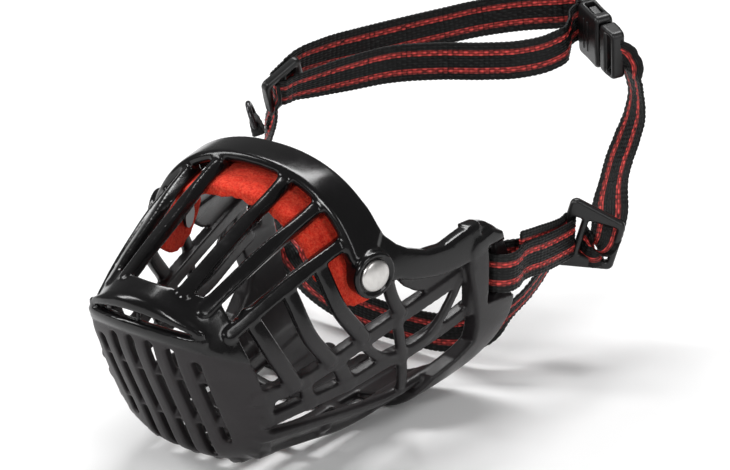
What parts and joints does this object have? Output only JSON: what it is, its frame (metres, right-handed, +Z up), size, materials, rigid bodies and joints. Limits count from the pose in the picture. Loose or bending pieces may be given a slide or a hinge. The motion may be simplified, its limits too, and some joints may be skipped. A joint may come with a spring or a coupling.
{
  "type": "basket muzzle",
  "caption": "Moulded basket muzzle with barred sides, slotted nose plate, felt brow pad and an adjustable striped webbing harness with a quick-release buckle.",
  "frame": {"origin": "middle of the flat underside of the cage, 80 mm behind the nose tip", "axes": "+Y out of the mouth towards the wearer's neck (the nose points to -Y), +X to the muzzle's side with the riveted double strap, +Z up"},
  "size_m": [0.1428, 0.2443, 0.1208],
  "materials": {
    "cage_plastic": "black moulded polypropylene, satin, matt on the nose plate",
    "red_felt": "bright red needled felt",
    "nickel": "satin nickel plate",
    "striped_webbing": "black ribbed nylon webbing with two red stripes",
    "black_webbing": "plain black nylon webbing",
    "hardware_plastic": "black acetal, satin gloss",
    "dark_steel": "black-plated steel wire"
  },
  "bodies": {
    "cage": {"basket": "cage_plastic", "brow_felt_pad": "red_felt", "right_rivet_cap": "nickel", "left_rivet_cap": "nickel", "right_rivet_post": "nickel", "left_rivet_post": "nickel"},
    "harness": {"right_cheek_strap": "striped_webbing", "right_neck_strap": "striped_webbing", "left_cheek_strap": "striped_webbing", "neck_loop_strap": "striped_webbing", "throat_strap": "striped_webbing", "buckle_female": "hardware_plastic", "d_ring_keeper": "black_webbing"},
    "adjuster": {"right_adjuster": "hardware_plastic"},
    "slide": {"left_tri_glide": "hardware_plastic"},
    "plug": {"buckle_male": "hardware_plastic", "buckle_spring_arms": "hardware_plastic"},
    "ring": {"d_ring": "dark_steel"}
  },
  "joints": [
    {"name": "harness_swing", "type": "hinge", "parent": "cage", "child": "harness", "pos_m": [0, 0.0635, 0.0505], "axis": [1, 0, 0], "range_deg": [0, 30], "deforming": ["right_cheek_strap", "left_cheek_strap", "throat_strap"]},
    {"name": "buckle_release", "type": "slide", "parent": "harness", "child": "plug", "axis": [0.8406, -0.5204, -0.1501], "range_m": [0, 0.022], "deforming": ["right_neck_strap", "buckle_spring_arms"]},
    {"name": "adjuster_pivot", "type": "hinge", "parent": "harness", "child": "adjuster", "pos_m": [0.06, 0.1086, 0.047], "axis": [0.225, 0.116, 0.9674], "range_deg": [-12, 12]},
    {"name": "slide_adjust", "type": "slide", "parent": "harness", "child": "slide", "axis": [0.3, 0.8301, 0.47], "range_m": [0, 0.012], "deforming": ["neck_loop_strap"]},
    {"name": "d_ring_swing", "type": "hinge", "parent": "harness", "child": "ring", "pos_m": [-0.0614, 0.0694, 0.0775], "axis": [0.6, -0.8, 0], "range_deg": [-8, 95]}
  ]
}
